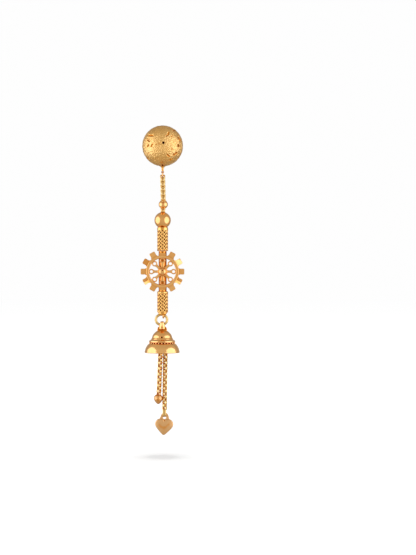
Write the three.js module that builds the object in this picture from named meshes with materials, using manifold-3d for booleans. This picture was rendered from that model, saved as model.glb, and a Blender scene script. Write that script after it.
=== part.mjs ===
// A long drop earring in yellow gold: a round stud carries a short loop-in-loop chain, two beads,
// a woven tube, a cog wheel on a rod, a second woven tube, and a bell on a jump ring. Two belcher
// chains hang out of the bell, the short one with an acorn bead and the long one with a heart.
//
// Millimetres, +Z up, the front faces -Y and +X is the viewer's right. The origin is where the ear
// post leaves the back of the stud ball, against the ear lobe. Inside the group, heights are
// measured from the centre of the stud ball and everything hangs on its vertical line.

import * as THREE from 'three';
import { mergeVertices } from 'three/addons/utils/BufferGeometryUtils.js';
import Module from 'manifold-3d';

// ---- Driving dimensions ----

const BALL = { radius: 5.75, sides: 22, bands: 14 };
const PINHOLE = { radius: 0.3, height: 0.98, depth: 0.9, sides: 8 };
const POST = { radius: 0.45, length: 11, seat: 0.8, play: 0.07, tip: 0.35, sides: 12 };

// The eye soldered under the ball: a cone, a short peg and a flat ring whose hole runs front to back.
const EYE = { height: -7.3, hole: 0.3, rim: 0.48, thickness: 0.36, peg: 0.36, sides: 12 };
const CONE = { top: -5.55, foot: -6.4, radius: 0.85, sides: 10 };
const TOP_RING = { height: -8.04, radius: 0.68, wire: 0.17, sides: 6, steps: 18 };

// Loop-in-loop chain. Each link is one wire ring folded over: its fold is at the top and its two
// loops hang down on the left and right, where the fold of the next link passes through both.
// The table is the front right quarter of the wire's centre line, from the fold to a loop's foot.
const FOLDED_LINK = [
  { x: 0, y: -0.19, z: 0 },
  { x: 0.48, y: -0.19, z: -0.05 },
  { x: 0.57, y: -0.29, z: -0.23 },
  { x: 0.58, y: -0.44, z: -0.79 },
  { x: 0.46, y: -0.5, z: -1.07 },
  { x: 0.23, y: -0.47, z: -1.62 },
  { x: 0.26, y: 0, z: -1.69 },
];
const UPPER_CHAIN = { top: -8.22, pitch: 1.302, links: 5, wire: 0.14, sides: 4, steps: 18 };
// A dot of solder inside each loop's foot holds the next link's fold.
const SOLDER = { x: 0.26, drop: 1.48, radius: 0.28 };

// Beads: radius r at height z from the bead's middle.
const SPACER = { height: -16.38, sides: 16 };
const SPACER_OUTLINE = [
  { r: 0.85, z: 1.06 },
  { r: 1.14, z: 0.53 },
  { r: 1.27, z: 0.1 },
  { r: 1.25, z: -0.5 },
  { r: 1.08, z: -0.87 },
  { r: 0.8, z: -1.2 },
];
const ROUND_BEAD = { height: -20.83, radius: 2.3, sides: 16, bands: 10, well: 0.78, wellDepth: 0.85 };

const TUBE = { radius: 1.54, rim: 1.42, edge: 0.2, sides: 16 };
const UPPER_TUBE = { top: -22.75, foot: -29.38, cupPlay: 0.07 };
const LOWER_TUBE = { top: -40.68, foot: -46.75, shoulder: 0.7, footRadius: 1.0 };
const SEAT_GAP = 0.06;

// Cog wheel: ring, cogs, teardrop spokes and a domed hub, soldered to the front of the rod.
const WHEEL = { height: -35.2, cogs: 12, spokes: 8, back: -0.45 };
const RING = { inner: 3.85, outer: 4.56, depth: 1.1, inset: 0.1, segments: 30 };
const COG = { root: 4.4, tip: 6.1, shortTip: 5.2, rootHalf: 0.66, tipHalf: 0.79, depth: 1.3 };
const SPOKE = { root: 0.9, stemHalf: 0.3, loopAt: 3.12, loop: 0.76, hole: 0.42, depth: 0.8, inset: 0.3 };
const HUB = { radius: 1.35, depth: 1.15, dome: 0.65, sides: 12, bands: 6 };
const ROD = { radius: 1.12, sides: 12 };

const EYELET = { x: 0.2, height: -47.32, radius: 0.78, wire: 0.29, sides: 6, steps: 14 };
const JUMP_RING = { x: -0.26, height: -48.665, halfWidth: 1.62, halfHeight: 1.405, wire: 0.39,
  sides: 8, steps: 20 };

// Bell link: a band ring, seen edge-on, that joins the jump ring to the loop on the bell.
const BELL_X = -0.14;
const BELL_LINK = { top: -49.06, foot: -51.6, halfDepth: 0.94, thickness: 0.36, width: 1.16, bevel: 0.08 };
const BELL_LOOP = { top: -50.53, halfWidth: 1.37, holeTop: -50.95, holeHalf: 0.74, depth: 0.44, bevel: 0.09 };
// The bell's wall, outside and inside: radius r at height z, curving toward the point (cr, cz).
const BELL = { top: -51.75, crown: 1.4, rim: -57.93, lip: 0.38, sides: 24, outerSteps: 3, innerSteps: 2 };
const BELL_OUTSIDE = [
  { r: 2.78, z: -53.55, cr: 2.52, cz: -52.25 },
  { r: 3.62, z: -54.42, cr: 3.1, cz: -54.05 },
  { r: 3.65, z: -55.05, cr: 3.68, cz: -54.75 },
  { r: 4.93, z: -57.93, cr: 4.78, cz: -56.3 },
];
const BELL_INSIDE = [
  { r: 3.25, z: -55.3, cr: 4.3, cz: -56.3 },
  { r: 2.35, z: -53.6, cr: 2.5, cz: -54.5 },
  { r: 0, z: -52.2, cr: 1.9, cz: -52.3 },
];
const CROSS_BAR = { height: -54.95, radius: 0.15, half: 3.3, sides: 6 };

// Belcher chains: oval links a quarter turn apart. Links of one stretch are joined; between two
// stretches the wires stand clear of each other.
const BELCHER = { halfWidth: 0.5, halfLength: 0.5475, wire: 0.18, sides: 4, steps: 6, loosePitch: 0.69 };
const STRETCH_LINKS = 6;
const SHORT_CHAIN = { stretches: 3, topX: -0.62, footX: -1.16, footLink: -69.45 };
const LONG_CHAIN = { stretches: 4, topX: 0.76, footX: 0.52, footLink: -73.43 };
const FIRST_LINK_DROP = 0.17;

const ACORN = { x: -1.22, sides: 14 };
const ACORN_OUTLINE = [
  { r: 0.5, z: -69.66 },
  { r: 0.98, z: -69.9 },
  { r: 1.16, z: -70.3 },
  { r: 1.2, z: -70.8 },
  { r: 1.05, z: -71.3 },
  { r: 0.72, z: -71.85 },
  { r: 0.36, z: -72.2 },
];

// Heart pendant, drawn about the middle of its loop's hole, then leaned a little.
const HEART_X = 0.49;
const HEART_RING = { top: -73.39, foot: -76.0, halfDepth: 0.83, thickness: 0.27, width: 0.84, bevel: 0.08,
  neckHalf: 0.13, neckFoot: -74.0, shoulder: -75.6 };
const HEART = { height: -76.02, lean: -0.035, halfWidth: 2.56, widest: -1.93, tip: -4.98, lobeTop: -0.42,
  lobeAt: 1.3, notch: -0.9, depth: 0.5, bevel: 0.38, inset: 0.34 };
const HEART_LOOP = { halfWidth: 1.38, top: 1.32, foot: -1.7, holeHalf: 0.58, holeTop: 0.44,
  holeFoot: -0.42, corner: 0.25, depth: 0.43, bevel: 0.16 };

const GOLD = { color: 0xd59b5c, roughness: 0.22, metalness: 1 };
const GOLD_ENGRAVED = { color: 0xd89a52, roughness: 0.38, metalness: 1 };
const GOLD_WOVEN = { color: 0xcf9450, roughness: 0.3, metalness: 1 };
const GOLD_SATIN = { color: 0xdca25c, roughness: 0.42, metalness: 1 };

const WELD = 1e-4;
const QUARTER = Math.PI / 2;

const wasm = await Module();
wasm.setup();

// ---- Solids ----

// Turns a closed three.js geometry into a solid that can be joined and cut.
function solid(geometry) {
  geometry.deleteAttribute('normal');
  geometry.deleteAttribute('uv');
  const merged = mergeVertices(geometry, WELD);
  const corners = merged.index.array;
  const kept = [];
  for (let i = 0; i < corners.length; i += 3) {
    const [a, b, c] = [corners[i], corners[i + 1], corners[i + 2]];
    if (a !== b && b !== c && c !== a) kept.push(a, b, c);
  }
  return new wasm.Manifold(new wasm.Mesh({
    numProp: 3,
    vertProperties: merged.attributes.position.array,
    triVerts: Uint32Array.from(kept),
  }));
}

function join(...solids) {
  return solids.reduce((whole, next) => whole.add(next));
}

function piece(name, whole, finish) {
  const { vertProperties, triVerts } = whole.getMesh();
  const geometry = new THREE.BufferGeometry();
  geometry.setAttribute('position', new THREE.BufferAttribute(vertProperties, 3));
  geometry.setIndex(new THREE.BufferAttribute(triVerts, 1));
  geometry.computeVertexNormals();
  const mesh = new THREE.Mesh(geometry, new THREE.MeshStandardMaterial(finish));
  mesh.name = name;
  return mesh;
}

// ---- Shapes shared by several pieces ----

// Turned about the vertical axis, from a profile of {r, z} or Vector2 points listed foot to top.
function turned(points, sides) {
  const profile = points.map((p) => new THREE.Vector2(p.r ?? p.x, p.z ?? p.y));
  return solid(new THREE.LatheGeometry(profile, sides).rotateX(QUARTER));
}

function upright(radiusTop, radiusFoot, top, foot, sides) {
  const geometry = new THREE.CylinderGeometry(radiusTop, radiusFoot, top - foot, sides);
  return solid(geometry.rotateX(QUARTER).translate(0, 0, (top + foot) / 2));
}

// A cylinder along Y (front to back) from y = start to y = end.
function frontToBack(radius, start, end, sides) {
  const cylinder = new THREE.CylinderGeometry(radius, radius, end - start, sides);
  return solid(cylinder.translate(0, (start + end) / 2, 0));
}

class Oval extends THREE.Curve {
  constructor(halfWidth, halfHeight) {
    super();
    this.halfWidth = halfWidth;
    this.halfHeight = halfHeight;
  }

  getPoint(t, target = new THREE.Vector3()) {
    const angle = t * 2 * Math.PI;
    return target.set(this.halfWidth * Math.sin(angle), 0, this.halfHeight * Math.cos(angle));
  }
}

// A closed wire ring that faces the front; edgeOn turns it to face sideways.
function wireRing(halfWidth, halfHeight, wire, sides, steps, edgeOn) {
  const geometry = new THREE.TubeGeometry(new Oval(halfWidth, halfHeight), steps, wire, sides, true);
  return solid(edgeOn ? geometry.rotateZ(QUARTER) : geometry);
}

// A plate cut from a shape drawn in X and Z, with its back at y = back and its front nearer -Y.
function plate(shape, depth, back, options = {}) {
  const settings = { depth, bevelEnabled: false, curveSegments: 8, ...options };
  return solid(new THREE.ExtrudeGeometry(shape, settings).rotateX(QUARTER).translate(0, back, 0));
}

function roundedBox(halfWidth, top, foot, radius) {
  const shape = new THREE.Shape();
  shape.moveTo(halfWidth, foot + radius);
  shape.lineTo(halfWidth, top - radius);
  shape.absarc(halfWidth - radius, top - radius, radius, 0, QUARTER, false);
  shape.lineTo(-halfWidth + radius, top);
  shape.absarc(-halfWidth + radius, top - radius, radius, QUARTER, 2 * QUARTER, false);
  shape.lineTo(-halfWidth, foot + radius);
  shape.absarc(-halfWidth + radius, foot + radius, radius, 2 * QUARTER, 3 * QUARTER, false);
  shape.lineTo(halfWidth - radius, foot);
  shape.absarc(halfWidth - radius, foot + radius, radius, 3 * QUARTER, 4 * QUARTER, false);
  return shape;
}

// A band bent into an upright ring with straight sides, seen edge-on from the front.
function bandRing({ top, foot, halfDepth, thickness, width, bevel }) {
  const shape = roundedBox(halfDepth - bevel, top - bevel, foot + bevel, halfDepth - bevel);
  const holeHalf = halfDepth - thickness;
  shape.holes.push(roundedBox(holeHalf + bevel, top - thickness + bevel, foot + thickness - bevel,
    holeHalf + bevel));
  const band = plate(shape, width - 2 * bevel, width / 2 - bevel, {
    bevelEnabled: true, bevelSize: bevel, bevelThickness: bevel, bevelSegments: 1, curveSegments: 3,
  });
  return band.rotate([0, 0, 90]);
}

// One folded link of the loop-in-loop chain, counted from the top.
function foldedLink(index) {
  const quarter = FOLDED_LINK.map(({ x, y, z }) => new THREE.Vector3(x, y, z));
  const mirrored = (points, x, y) => points.map((p) => new THREE.Vector3(p.x * x, p.y * y, p.z));
  const back = [...quarter].reverse();
  const points = [
    ...quarter,
    ...mirrored(back.slice(1), 1, -1),
    ...mirrored(quarter.slice(1), -1, -1),
    ...mirrored(back.slice(1, -1), -1, 1),
  ];
  const { wire, sides, steps } = UPPER_CHAIN;
  const curve = new THREE.CatmullRomCurve3(points, true);
  return solid(new THREE.TubeGeometry(curve, steps, wire, sides, true).translate(0, 0, linkHeight(index)));
}

const linkHeight = (index) => UPPER_CHAIN.top - index * UPPER_CHAIN.pitch;

function solderDots(index) {
  const { x, drop, radius } = SOLDER;
  return [-x, x].map((side) => solid(new THREE.OctahedronGeometry(radius)
    .translate(side, 0, linkHeight(index) - drop)));
}

// ---- Stud ----

function studBall() {
  const { radius, sides, bands } = BALL;
  const ball = solid(new THREE.SphereGeometry(radius, sides, bands).rotateX(QUARTER));
  const pinhole = frontToBack(PINHOLE.radius, -radius - 1, -radius + PINHOLE.depth, PINHOLE.sides)
    .translate([0, 0, PINHOLE.height]);
  const socket = frontToBack(POST.radius + POST.play, radius - POST.seat, radius + 1, POST.sides);
  const eyeRing = frontToBack(EYE.rim, -EYE.thickness / 2, EYE.thickness / 2, EYE.sides)
    .translate([0, 0, EYE.height]);
  const eyeHole = frontToBack(EYE.hole, -1, 1, EYE.sides).translate([0, 0, EYE.height]);
  const cone = upright(CONE.radius, EYE.peg, CONE.top, CONE.foot, CONE.sides);
  const peg = upright(EYE.peg, EYE.peg, CONE.foot + 0.1, EYE.height, CONE.sides);
  return piece('stud_ball', join(ball, cone, peg, eyeRing).subtract(pinhole).subtract(socket)
    .subtract(eyeHole), GOLD_ENGRAVED);
}

function earPost() {
  const { radius, length, seat, play, tip, sides } = POST;
  const start = BALL.radius - seat + play;
  const end = BALL.radius + length;
  const profile = [[0, start], [radius, start], [radius, end - tip], [radius / 2, end], [0, end]];
  const lathe = new THREE.LatheGeometry(profile.map(([r, y]) => new THREE.Vector2(r, y)), sides);
  return piece('ear_post', solid(lathe), GOLD);
}

function topRing() {
  const { height, radius, wire, sides, steps } = TOP_RING;
  const ring = wireRing(radius, radius, wire, sides, steps, true);
  return piece('top_ring', ring.translate([0, 0, height]), GOLD);
}

// ---- Upper chain and beads ----

function upperChain() {
  const links = [];
  for (let i = 0; i < UPPER_CHAIN.links; i += 1) links.push(foldedLink(i));
  for (let i = 0; i < UPPER_CHAIN.links - 1; i += 1) links.push(...solderDots(i));
  return piece('upper_chain', join(...links), GOLD);
}

// The spacer bead is soldered between two links: one sunk in its top, one hanging out of its foot.
function spacerBead() {
  const outline = SPACER_OUTLINE.map(({ r, z }) => ({ r, z: z + SPACER.height })).reverse();
  const bead = turned([
    { r: 0, z: outline[0].z },
    ...outline,
    { r: 0, z: outline.at(-1).z },
  ], SPACER.sides);
  const above = foldedLink(UPPER_CHAIN.links);
  const below = foldedLink(UPPER_CHAIN.links + 2);
  return piece('spacer_bead', join(bead, above, below), GOLD);
}

// The round bead has a well in its top, crossed by the fold of a sunk link.
function roundBead() {
  const { height, radius, sides, bands, well, wellDepth } = ROUND_BEAD;
  const bead = solid(new THREE.SphereGeometry(radius, sides, bands).rotateX(QUARTER).translate(0, 0, height));
  const top = height + radius;
  const wellCut = upright(well, well, top + 1, top - wellDepth, sides);
  const link = foldedLink(UPPER_CHAIN.links + 3);
  return piece('round_bead', join(bead.subtract(wellCut), link), GOLD);
}

// ---- Woven tubes ----

// The round bead sits in a cup in the top of the upper tube.
function upperMeshTube() {
  const { top, foot, cupPlay } = UPPER_TUBE;
  const cup = solid(new THREE.SphereGeometry(ROUND_BEAD.radius + cupPlay, TUBE.sides, ROUND_BEAD.bands)
    .rotateX(QUARTER).translate(0, 0, ROUND_BEAD.height));
  const tube = turned([
    { r: 0, z: foot },
    { r: TUBE.rim, z: foot },
    { r: TUBE.radius, z: foot + TUBE.edge },
    { r: TUBE.radius, z: top - TUBE.edge },
    { r: TUBE.rim, z: top },
    { r: 0, z: top },
  ], TUBE.sides);
  return piece('upper_mesh_tube', tube.subtract(cup), GOLD_WOVEN);
}

function lowerMeshTube() {
  const { top, foot, shoulder, footRadius } = LOWER_TUBE;
  const tube = turned([
    { r: 0, z: foot },
    { r: footRadius, z: foot },
    { r: TUBE.rim, z: foot + shoulder / 2 },
    { r: TUBE.radius, z: foot + shoulder },
    { r: TUBE.radius, z: top - TUBE.edge },
    { r: TUBE.rim, z: top },
    { r: 0, z: top },
  ], TUBE.sides);
  const { x, height, radius, wire, sides, steps } = EYELET;
  const eyelet = wireRing(radius, radius, wire, sides, steps, true).translate([x, 0, height]);
  return piece('lower_mesh_tube', join(tube, eyelet), GOLD_WOVEN);
}

// ---- Cog wheel ----

function cogShape(tip) {
  const widen = (COG.tipHalf - COG.rootHalf) * (tip - COG.root) / (COG.tip - COG.root);
  const shape = new THREE.Shape();
  shape.moveTo(-COG.rootHalf, COG.root);
  shape.lineTo(COG.rootHalf, COG.root);
  shape.lineTo(COG.rootHalf + widen, tip);
  shape.lineTo(-COG.rootHalf - widen, tip);
  shape.closePath();
  return shape;
}

// A wire bent into a teardrop: a stem from the hub that opens into a round loop at the ring.
function spokeShape() {
  const { root, stemHalf, loopAt, loop, hole } = SPOKE;
  const meet = Math.PI / 4;
  const shape = new THREE.Shape();
  shape.moveTo(-stemHalf, root);
  shape.lineTo(stemHalf, root);
  shape.absarc(0, loopAt, loop, -meet, Math.PI + meet, false);
  shape.closePath();
  const opening = new THREE.Path();
  opening.absarc(0, loopAt, hole, 0, 2 * Math.PI, true);
  shape.holes.push(opening);
  return shape;
}

function cogWheel() {
  const ringShape = new THREE.Shape().absarc(0, 0, RING.outer, 0, 2 * Math.PI, false);
  ringShape.holes.push(new THREE.Path().absarc(0, 0, RING.inner, 0, 2 * Math.PI, true));
  const ring = plate(ringShape, RING.depth, WHEEL.back - RING.inset, { curveSegments: RING.segments });
  const hub = frontToBack(HUB.radius, WHEEL.back - HUB.depth, WHEEL.back, HUB.sides);
  const dome = solid(new THREE.SphereGeometry(HUB.radius * 0.8, HUB.sides, HUB.bands).scale(1, HUB.dome, 1)
    .translate(0, WHEEL.back - HUB.depth, 0));
  const parts = [ring, hub, dome];
  for (let i = 0; i < WHEEL.cogs; i += 1) {
    const turn = i * 360 / WHEEL.cogs;
    const nextToTube = turn % 180 === 0;
    parts.push(plate(cogShape(nextToTube ? COG.shortTip : COG.tip), COG.depth, WHEEL.back)
      .rotate([0, turn, 0]));
  }
  for (let i = 0; i < WHEEL.spokes; i += 1) {
    parts.push(plate(spokeShape(), SPOKE.depth, WHEEL.back - SPOKE.inset, { curveSegments: 3 })
      .rotate([0, i * 360 / WHEEL.spokes, 0]));
  }
  const rodTop = UPPER_TUBE.foot - SEAT_GAP;
  const rodFoot = LOWER_TUBE.top + SEAT_GAP;
  const rod = upright(ROD.radius, ROD.radius, rodTop, rodFoot, ROD.sides);
  return piece('cog_wheel', join(rod, ...parts.map((part) => part.translate([0, 0, WHEEL.height]))), GOLD);
}

// ---- Bell ----

function jumpRing() {
  const { x, height, halfWidth, halfHeight, wire, sides, steps } = JUMP_RING;
  const ring = wireRing(halfWidth, halfHeight, wire, sides, steps, false);
  return piece('jump_ring', ring.translate([x, 0, height]), GOLD);
}

function bellLink() {
  return piece('bell_link', bandRing(BELL_LINK).translate([BELL_X, 0, 0]), GOLD);
}

// Crown, flange and flared bowl in one wall, open below.
function bellWall() {
  const outside = new THREE.Path().moveTo(0, BELL.top).lineTo(BELL.crown, BELL.top);
  BELL_OUTSIDE.forEach(({ r, z, cr, cz }) => outside.quadraticCurveTo(cr, cz, r, z));
  const inside = new THREE.Path().moveTo(BELL_OUTSIDE.at(-1).r - BELL.lip, BELL.rim);
  BELL_INSIDE.forEach(({ r, z, cr, cz }) => inside.quadraticCurveTo(cr, cz, r, z));
  const profile = [...outside.getPoints(BELL.outerSteps), ...inside.getPoints(BELL.innerSteps)];
  return turned(profile.reverse(), BELL.sides);
}

function bell() {
  const { top, halfWidth, holeTop, holeHalf, depth, bevel } = BELL_LOOP;
  const sunk = BELL.top - 0.3;
  const shape = roundedBox(halfWidth - bevel, top - bevel, sunk, 0.12);
  shape.holes.push(roundedBox(holeHalf + bevel, holeTop + bevel, BELL.top - 0.1, 0.1));
  const loop = plate(shape, depth - 2 * bevel, depth / 2 - bevel, {
    bevelEnabled: true, bevelSize: bevel, bevelThickness: bevel, bevelSegments: 1, curveSegments: 2,
  });
  const bar = solid(new THREE.CylinderGeometry(CROSS_BAR.radius, CROSS_BAR.radius, 2 * CROSS_BAR.half,
    CROSS_BAR.sides).rotateZ(QUARTER).translate(0, 0, CROSS_BAR.height));
  return piece('bell', join(bellWall(), loop, bar).translate([BELL_X, 0, 0]), GOLD);
}

// ---- Belcher chains and what hangs on them ----

function belcherLink(x, height, edgeOn) {
  const { halfWidth, halfLength, wire, sides, steps } = BELCHER;
  return wireRing(halfWidth, halfLength, wire, sides, steps, edgeOn).translate([x, 0, height]);
}

// Link centres from the cross bar down to the foot link, whose own pitch from the last link of the
// last stretch is loose when it belongs to another piece.
function chainCentres({ stretches, topX, footX, footLink }, extraLinks) {
  const links = stretches * STRETCH_LINKS + extraLinks;
  const first = CROSS_BAR.height - FIRST_LINK_DROP;
  const loose = stretches - 1 + extraLinks;
  const tightPitch = (first - footLink - loose * BELCHER.loosePitch) / (links - 1 - loose);
  const centres = [];
  let height = first;
  for (let i = 0; i < links; i += 1) {
    const share = (first - height) / (first - footLink);
    centres.push({ x: topX + (footX - topX) * share, height, edgeOn: i % 2 === 0 });
    height -= (i + 1) % STRETCH_LINKS === 0 ? BELCHER.loosePitch : tightPitch;
  }
  return centres;
}

function chainStretches(name, chain, centres) {
  const pieces = [];
  for (let s = 0; s < chain.stretches; s += 1) {
    const links = centres.slice(s * STRETCH_LINKS, (s + 1) * STRETCH_LINKS)
      .map(({ x, height, edgeOn }) => belcherLink(x, height, edgeOn));
    pieces.push(piece(`${name}_${s + 1}`, join(...links), GOLD));
  }
  return pieces;
}

// The last link of the short chain is sunk in the top of the acorn bead.
function acornBead(link) {
  const outline = [...ACORN_OUTLINE].reverse();
  const bead = turned([
    { r: 0, z: outline[0].z - 0.1 },
    ...outline,
    { r: 0, z: outline.at(-1).z + 0.1 },
  ], ACORN.sides).translate([ACORN.x, 0, 0]);
  return piece('acorn_bead', join(bead, belcherLink(link.x, link.height, link.edgeOn)), GOLD);
}

// The ring is narrow where it passes through the chain's last link, and widens below.
function heartRing() {
  const { top, foot, neckHalf, neckFoot, shoulder, halfDepth } = HEART_RING;
  const taper = new THREE.Shape();
  taper.moveTo(-1, foot - 1);
  taper.lineTo(1, foot - 1);
  taper.lineTo(1, shoulder);
  taper.lineTo(neckHalf, neckFoot);
  taper.lineTo(neckHalf, top + 1);
  taper.lineTo(-neckHalf, top + 1);
  taper.lineTo(-neckHalf, neckFoot);
  taper.lineTo(-1, shoulder);
  taper.closePath();
  const band = bandRing(HEART_RING).intersect(plate(taper, 4 * halfDepth, 2 * halfDepth));
  return piece('heart_ring', band.translate([HEART_X, 0, 0]), GOLD);
}

function heartPendant() {
  const { halfWidth, widest, tip, lobeTop, lobeAt, notch, depth, bevel, inset } = HEART;
  const outline = new THREE.Shape();
  const right = halfWidth - inset;
  outline.moveTo(0, tip + inset * 1.4);
  outline.bezierCurveTo(0.75, tip + 1.5, right, widest - 1.15, right, widest);
  outline.bezierCurveTo(right, widest + 0.85, lobeAt + 0.55, lobeTop - inset, lobeAt, lobeTop - inset);
  outline.bezierCurveTo(lobeAt - 0.5, lobeTop - inset, 0.2, notch, 0, notch - inset);
  outline.bezierCurveTo(-0.2, notch, -lobeAt + 0.5, lobeTop - inset, -lobeAt, lobeTop - inset);
  outline.bezierCurveTo(-lobeAt - 0.55, lobeTop - inset, -right, widest + 0.85, -right, widest);
  outline.bezierCurveTo(-right, widest - 1.15, -0.75, tip + 1.5, 0, tip + inset * 1.4);
  const body = plate(outline, depth, depth / 2, {
    bevelEnabled: true, bevelSize: inset, bevelThickness: bevel, bevelSegments: 2, curveSegments: 3,
  });
  const { halfWidth: loopHalf, top, holeHalf, holeTop, holeFoot, corner, bevel: edge } = HEART_LOOP;
  const loopShape = roundedBox(loopHalf - edge, top - edge, HEART_LOOP.foot, loopHalf - edge - 0.02);
  loopShape.holes.push(roundedBox(holeHalf + edge, holeTop + edge, holeFoot - edge, corner + edge));
  const loop = plate(loopShape, HEART_LOOP.depth, HEART_LOOP.depth / 2, {
    bevelEnabled: true, bevelSize: edge, bevelThickness: edge, bevelSegments: 1, curveSegments: 3,
  });
  const lean = HEART.lean * 180 / Math.PI;
  return piece('heart_pendant', join(body, loop).rotate([0, -lean, 0]).translate([HEART_X, 0, HEART.height]),
    GOLD_SATIN);
}

// ---- The earring ----

const shortCentres = chainCentres(SHORT_CHAIN, 1);
const longCentres = chainCentres(LONG_CHAIN, 0);

const earring = new THREE.Group();
earring.position.set(0, -BALL.radius, 0);
earring.add(
  studBall(),
  earPost(),
  topRing(),
  upperChain(),
  spacerBead(),
  roundBead(),
  upperMeshTube(),
  cogWheel(),
  lowerMeshTube(),
  jumpRing(),
  bellLink(),
  bell(),
  ...chainStretches('short_chain', SHORT_CHAIN, shortCentres),
  acornBead(shortCentres.at(-1)),
  ...chainStretches('long_chain', LONG_CHAIN, longCentres),
  heartRing(),
  heartPendant(),
);

export default earring;
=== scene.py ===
from math import acos, asin, atan, atan2, copysign, cos, hypot, inf, pi, radians, sin, sqrt, tan

import bpy
from mathutils import Matrix, Quaternion, Vector, noise

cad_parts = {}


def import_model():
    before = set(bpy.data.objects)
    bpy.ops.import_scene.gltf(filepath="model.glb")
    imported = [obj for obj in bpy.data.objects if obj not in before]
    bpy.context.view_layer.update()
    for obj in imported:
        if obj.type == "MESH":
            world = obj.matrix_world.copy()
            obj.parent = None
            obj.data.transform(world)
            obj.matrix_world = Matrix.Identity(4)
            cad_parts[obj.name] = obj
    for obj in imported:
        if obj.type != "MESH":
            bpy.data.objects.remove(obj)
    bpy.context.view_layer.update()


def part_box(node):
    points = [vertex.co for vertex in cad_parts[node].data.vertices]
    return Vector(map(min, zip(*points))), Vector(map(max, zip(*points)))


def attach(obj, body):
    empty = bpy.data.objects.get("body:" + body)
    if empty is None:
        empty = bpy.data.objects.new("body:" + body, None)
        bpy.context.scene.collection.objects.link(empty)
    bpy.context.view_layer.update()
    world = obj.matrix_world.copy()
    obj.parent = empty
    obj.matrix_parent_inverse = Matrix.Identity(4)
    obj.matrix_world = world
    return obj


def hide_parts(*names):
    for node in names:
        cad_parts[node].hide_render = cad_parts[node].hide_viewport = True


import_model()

# A long gold drop earring. Lengths are millimetres, measured from the middle of the stud ball, with X to the
# right, Y away from the viewer and Z up; mesh_object() moves them onto the frame, which is in metres.

MM = 0.001

ball_low, ball_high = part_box("stud_ball")
BALL_RADIUS = (ball_high[0] - ball_low[0]) / 2 / MM
ring_low, ring_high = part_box("jump_ring")
BALL_MIDDLE = Vector((
    (ball_low[0] + ball_high[0]) / 2 / MM,
    (ring_low[1] + ring_high[1]) / 2 / MM,
    ball_high[2] / MM - BALL_RADIUS,
))


def node_box(name):
    """The lowest and highest corners of a CAD node, in millimetres from the middle of the ball."""
    low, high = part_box(name)
    return Vector(low) / MM - BALL_MIDDLE, Vector(high) / MM - BALL_MIDDLE


def node_middle(name):
    low, high = node_box(name)
    return (low + high) / 2


# ---- Shells: points and faces gathered for one piece ----


class Shell:
    """Closed surfaces of one piece, in millimetres from the middle of the ball. Each point also carries a level of
    painted shade: 0 is clean gold, 0.5 a painted deep orange that stands in for gold mirroring gold in a groove,
    and 1 a painted dark hole."""

    def __init__(self):
        self.points = []
        self.faces = []
        self.painted_shades = []

    def skin(self, rings, closed=False):
        """Joins a row of rings that have the same number of points, and caps both ends of an open row."""
        first, around, rows = len(self.points), len(rings[0]), len(rings)
        for ring in rings:
            self.points.extend(ring)
            self.painted_shades.extend([0.0] * around)
        for i in range(rows if closed else rows - 1):
            here, there = first + i * around, first + (i + 1) % rows * around
            for j in range(around):
                k = (j + 1) % around
                self.faces.append((here + j, here + k, there + k, there + j))
        if not closed:
            last = first + (rows - 1) * around
            self.faces.append(tuple(first + j for j in reversed(range(around))))
            self.faces.append(tuple(last + j for j in range(around)))
        return self

    def add(self, other, move=None):
        """Takes another shell in, after moving it by a matrix."""
        first = len(self.points)
        self.points.extend(move @ p if move else p.copy() for p in other.points)
        self.painted_shades.extend(other.painted_shades)
        self.faces.extend(tuple(first + j for j in face) for face in other.faces)
        return self

    def placed(self, move):
        """The shell moved by a matrix, as a new shell."""
        return Shell().add(self, move)

    def shade(self, painted_shade, front=inf):
        """Paints shade on each point in front of y = front: at least the level of painted shade
        that the function gives for it.
        """
        self.painted_shades = [max(old, painted_shade(p)) if p.y < front else old for old, p in zip(self.painted_shades, self.points)]
        return self

    def dimple(self, away, radius, depth, front=0.0):
        """Sinks a round dimple into the side that faces the viewer, in front of y = front. The function gives
        a point's distance from the dimple's middle."""
        for p in self.points:
            share = away(p) / radius
            if p.y < front and share < 1:
                p.y += depth * (1 - share ** 2)
        return self


def smooth(low, high, value):
    share = min(1.0, max(0.0, (value - low) / (high - low)))
    return share * share * (3 - 2 * share)


def moved(x=0.0, y=0.0, z=0.0):
    return Matrix.Translation((x, y, z))


def round_angles(count, start=0.0):
    """Evenly spaced angles round a circle. The first lies at start, counted in steps."""
    return [2 * pi * (j + start) / count for j in range(count)]


def turned(profile, sides=64):
    """A shell turned about the upright axis, from (radius, height) pairs listed from foot to top."""
    return Shell().skin([[Vector((radius * cos(a), radius * sin(a), height)) for a in round_angles(sides)]
                         for radius, height in profile])


def smooth_profile(points, steps=5):
    """A curve through (radius, height) pairs, as a longer list of pairs (Catmull-Rom)."""
    ends = [points[0]] + list(points) + [points[-1]]
    curve = []
    for a, b, c, d in zip(ends, ends[1:], ends[2:], ends[3:]):
        for i in range(steps):
            t = i / steps
            curve.append(tuple(
                0.5 * (2 * q + (r - p) * t + (2 * p - 5 * q + 4 * r - s) * t * t + (3 * q - p - 3 * r + s) * t ** 3)
                for p, q, r, s in zip(a, b, c, d)))
    curve.append(tuple(points[-1]))
    return curve


def tangents(path, closed):
    count = len(path)
    if closed:
        return [(path[(i + 1) % count] - path[i - 1]).normalized() for i in range(count)]
    return [(path[min(i + 1, count - 1)] - path[max(i - 1, 0)]).normalized() for i in range(count)]


def carried_normals(path, closed):
    """Normals carried along the path without twist; what is left over at a closed path's end is shared out."""
    heads = tangents(path, closed)
    normal = heads[0].orthogonal().normalized()
    normals = [normal]
    for before, after in zip(heads, heads[1:]):
        normal = before.rotation_difference(after) @ normal
        normals.append(normal)
    if closed:
        back = heads[-1].rotation_difference(heads[0]) @ normal
        turn = atan2(heads[0].dot(back.cross(normals[0])), back.dot(normals[0]))
        normals = [Quaternion(t, turn * i / len(path)) @ n for i, (t, n) in enumerate(zip(heads, normals))]
    return normals


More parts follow.
